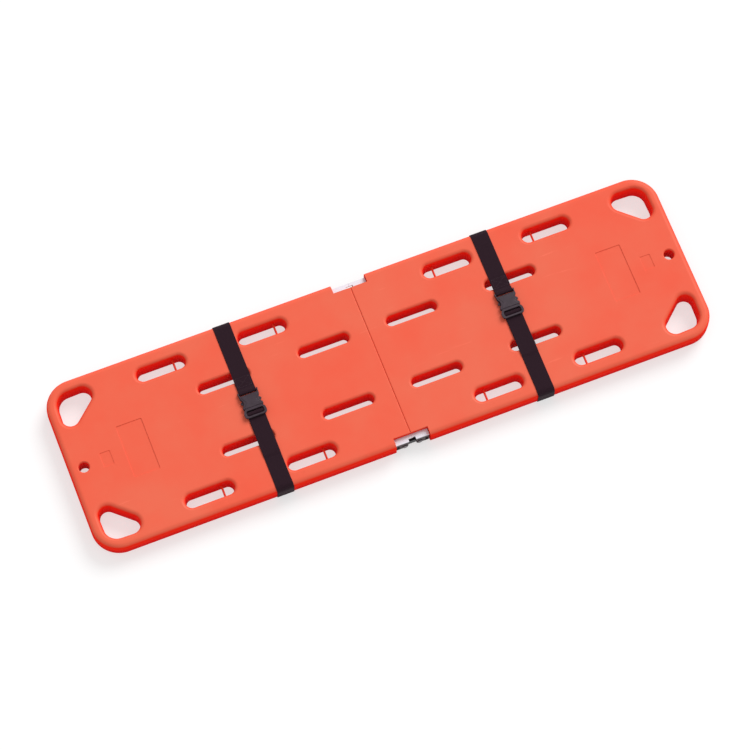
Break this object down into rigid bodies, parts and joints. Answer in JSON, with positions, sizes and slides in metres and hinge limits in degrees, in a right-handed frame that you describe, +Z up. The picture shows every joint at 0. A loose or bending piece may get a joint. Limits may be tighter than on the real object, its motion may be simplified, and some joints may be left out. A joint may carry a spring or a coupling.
{
  "type": "folding spine board",
  "caption": "Folding patient transfer and spine board: hollow plastic halves on link hinges, with hand slots, strap slots, corner grips and side-release buckle straps.",
  "frame": {"origin": "on the ground under the middle of the fold seam, at the bottom centre of the bounding box of the open board", "axes": "+X along the board towards the right half, +Y across it towards the edge that the buckle sockets point to, +Z up out of the lying surface"},
  "size_m": [1.84, 0.5204, 0.0814],
  "materials": {
    "red_polyethylene": "satin, finely grained rotational moulding",
    "red_polyethylene_rod": "satin",
    "red_vent_plastic": "satin",
    "leaf_aluminium": "brushed",
    "link_steel": "satin black",
    "pin_steel": "turned",
    "screw_steel": "turned",
    "washer_nylon": "plain",
    "insert_brass": "turned",
    "strap_webbing": "woven",
    "buckle_acetal": "fine spark-eroded grain"
  },
  "bodies": {
    "left_half": {"left_shell": "red_polyethylene", "left_strap_pins": "red_polyethylene_rod", "left_vent_plug": "red_vent_plastic", "far_left_leaf": "leaf_aluminium", "near_left_leaf": "leaf_aluminium", "left_leaf_screws": "screw_steel", "left_inserts": "insert_brass", "left_strap": "strap_webbing", "left_buckle_socket": "buckle_acetal"},
    "hinge_links": {"far_link_bar": "link_steel", "near_link_bar": "link_steel", "far_hinge_pins": "pin_steel", "near_hinge_pins": "pin_steel", "far_thrust_washers": "washer_nylon", "near_thrust_washers": "washer_nylon"},
    "right_half": {"right_shell": "red_polyethylene", "right_strap_pins": "red_polyethylene_rod", "right_vent_plug": "red_vent_plastic", "far_right_leaf": "leaf_aluminium", "near_right_leaf": "leaf_aluminium", "right_leaf_screws": "screw_steel", "right_inserts": "insert_brass", "right_strap": "strap_webbing", "right_buckle_socket": "buckle_acetal"},
    "left_plug": {"left_strap_tail": "strap_webbing", "left_buckle_plug": "buckle_acetal"},
    "left_buckle_left_arm_body": {"left_buckle_left_arm": "buckle_acetal"},
    "left_buckle_right_arm_body": {"left_buckle_right_arm": "buckle_acetal"},
    "right_plug": {"right_strap_tail": "strap_webbing", "right_buckle_plug": "buckle_acetal"},
    "right_buckle_left_arm_body": {"right_buckle_left_arm": "buckle_acetal"},
    "right_buckle_right_arm_body": {"right_buckle_right_arm": "buckle_acetal"}
  },
  "joints": [
    {"name": "left_fold", "type": "hinge", "parent": "left_half", "child": "hinge_links", "pos_m": [-0.022, 0, 0.02], "axis": [0, 1, 0], "range_deg": [0, 90]},
    {"name": "right_fold", "type": "hinge", "parent": "hinge_links", "child": "right_half", "pos_m": [0.022, 0, 0.02], "axis": [0, 1, 0], "range_deg": [0, 90]},
    {"name": "left_plug_slide", "type": "slide", "parent": "left_half", "child": "left_plug", "axis": [0, -1, 0], "range_m": [0, 0.033]},
    {"name": "left_left_arm_squeeze", "type": "hinge", "parent": "left_plug", "child": "left_buckle_left_arm_body", "pos_m": [-0.401, -0.01, 0.075], "axis": [0, 0, -1], "range_deg": [0, 12], "stiffness_Nm_per_rad": 0.5},
    {"name": "left_right_arm_squeeze", "type": "hinge", "parent": "left_plug", "child": "left_buckle_right_arm_body", "pos_m": [-0.359, -0.01, 0.075], "axis": [0, 0, 1], "range_deg": [0, 12], "stiffness_Nm_per_rad": 0.5},
    {"name": "right_plug_slide", "type": "slide", "parent": "right_half", "child": "right_plug", "axis": [0, -1, 0], "range_m": [0, 0.033]},
    {"name": "right_left_arm_squeeze", "type": "hinge", "parent": "right_plug", "child": "right_buckle_left_arm_body", "pos_m": [0.376, 0.008, 0.075], "axis": [0, 0, -1], "range_deg": [0, 12], "stiffness_Nm_per_rad": 0.5},
    {"name": "right_right_arm_squeeze", "type": "hinge", "parent": "right_plug", "child": "right_buckle_right_arm_body", "pos_m": [0.418, 0.008, 0.075], "axis": [0, 0, 1], "range_deg": [0, 12], "stiffness_Nm_per_rad": 0.5}
  ]
}
